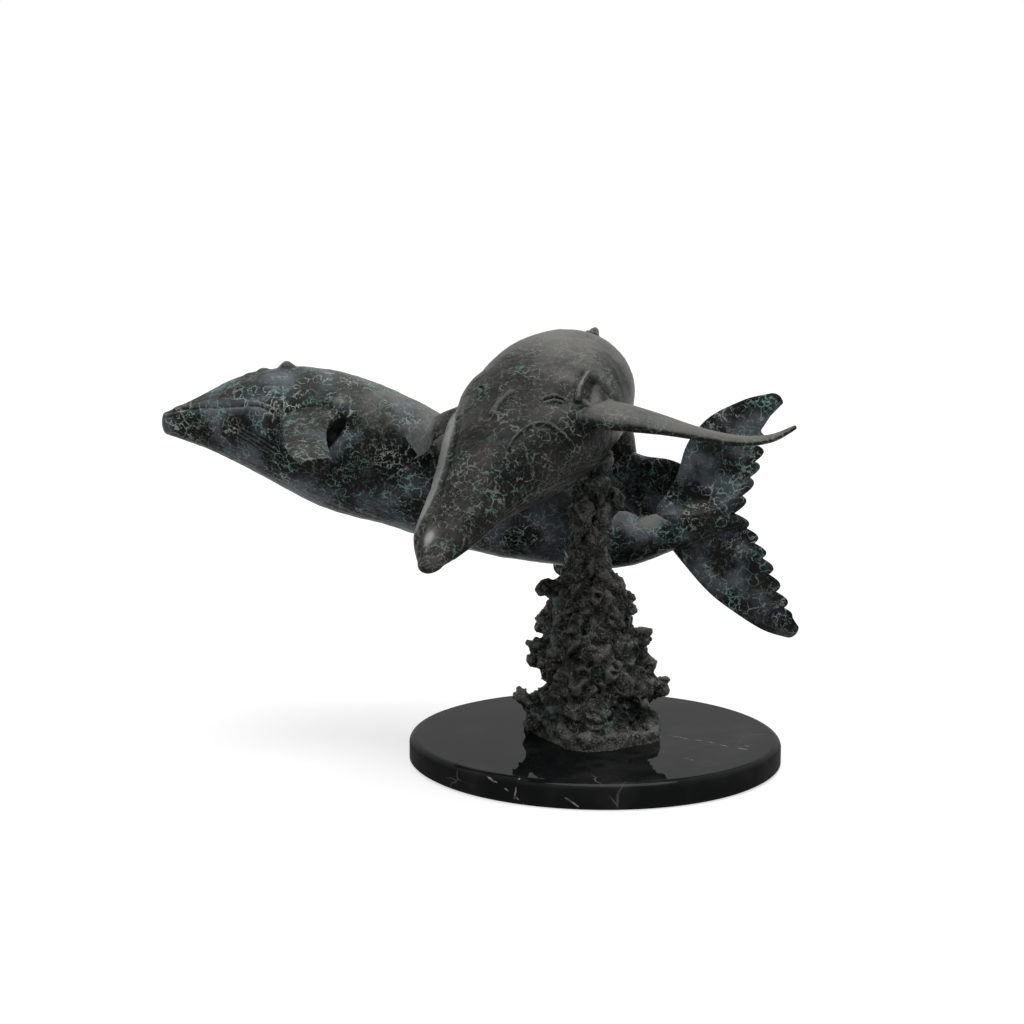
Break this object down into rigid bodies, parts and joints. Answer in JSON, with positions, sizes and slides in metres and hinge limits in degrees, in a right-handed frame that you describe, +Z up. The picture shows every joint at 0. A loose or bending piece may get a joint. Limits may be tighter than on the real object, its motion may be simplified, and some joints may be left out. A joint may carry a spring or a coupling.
{
  "type": "whale figurine",
  "caption": "Cast bronze table sculpture of crossing humpback whales on a coral pedestal, screwed to a round polished black marble base.",
  "frame": {"origin": "centre of the felt face that the object stands on", "axes": "+Z up, +X along the rear whale from its head to its flukes, -Y towards the side that the front whale swims to"},
  "size_m": [0.5329, 0.3903, 0.3545],
  "materials": {
    "bronze": "dark brown-black patina with a verdigris crackle, satin wax",
    "coral_bronze": "rough cast, dark brown patina with verdigris in the recesses",
    "tab_bronze": "bare, as welded",
    "marble": "polished black with sparse white veins",
    "felt": "matt felt",
    "steel": "zinc plated"
  },
  "bodies": {
    "root": {"felt_pad": "felt", "marble_base": "marble", "coral_pedestal": "coral_bronze", "base_screw_1": "steel", "base_washer_1": "steel", "foot_tab_1": "tab_bronze", "base_screw_2": "steel", "base_washer_2": "steel", "foot_tab_2": "tab_bronze", "base_screw_3": "steel", "base_washer_3": "steel", "foot_tab_3": "tab_bronze", "front_whale_head": "bronze", "front_whale_body": "bronze", "front_whale_flukes": "bronze", "front_whale_left_flipper": "bronze", "front_whale_right_flipper": "bronze", "front_whale_dorsal_fin": "bronze", "rear_whale_head": "bronze", "rear_whale_body": "bronze", "rear_whale_flukes": "bronze", "rear_whale_left_flipper": "bronze", "rear_whale_right_flipper": "bronze", "rear_whale_dorsal_fin": "bronze"}
  },
  "joints": []
}
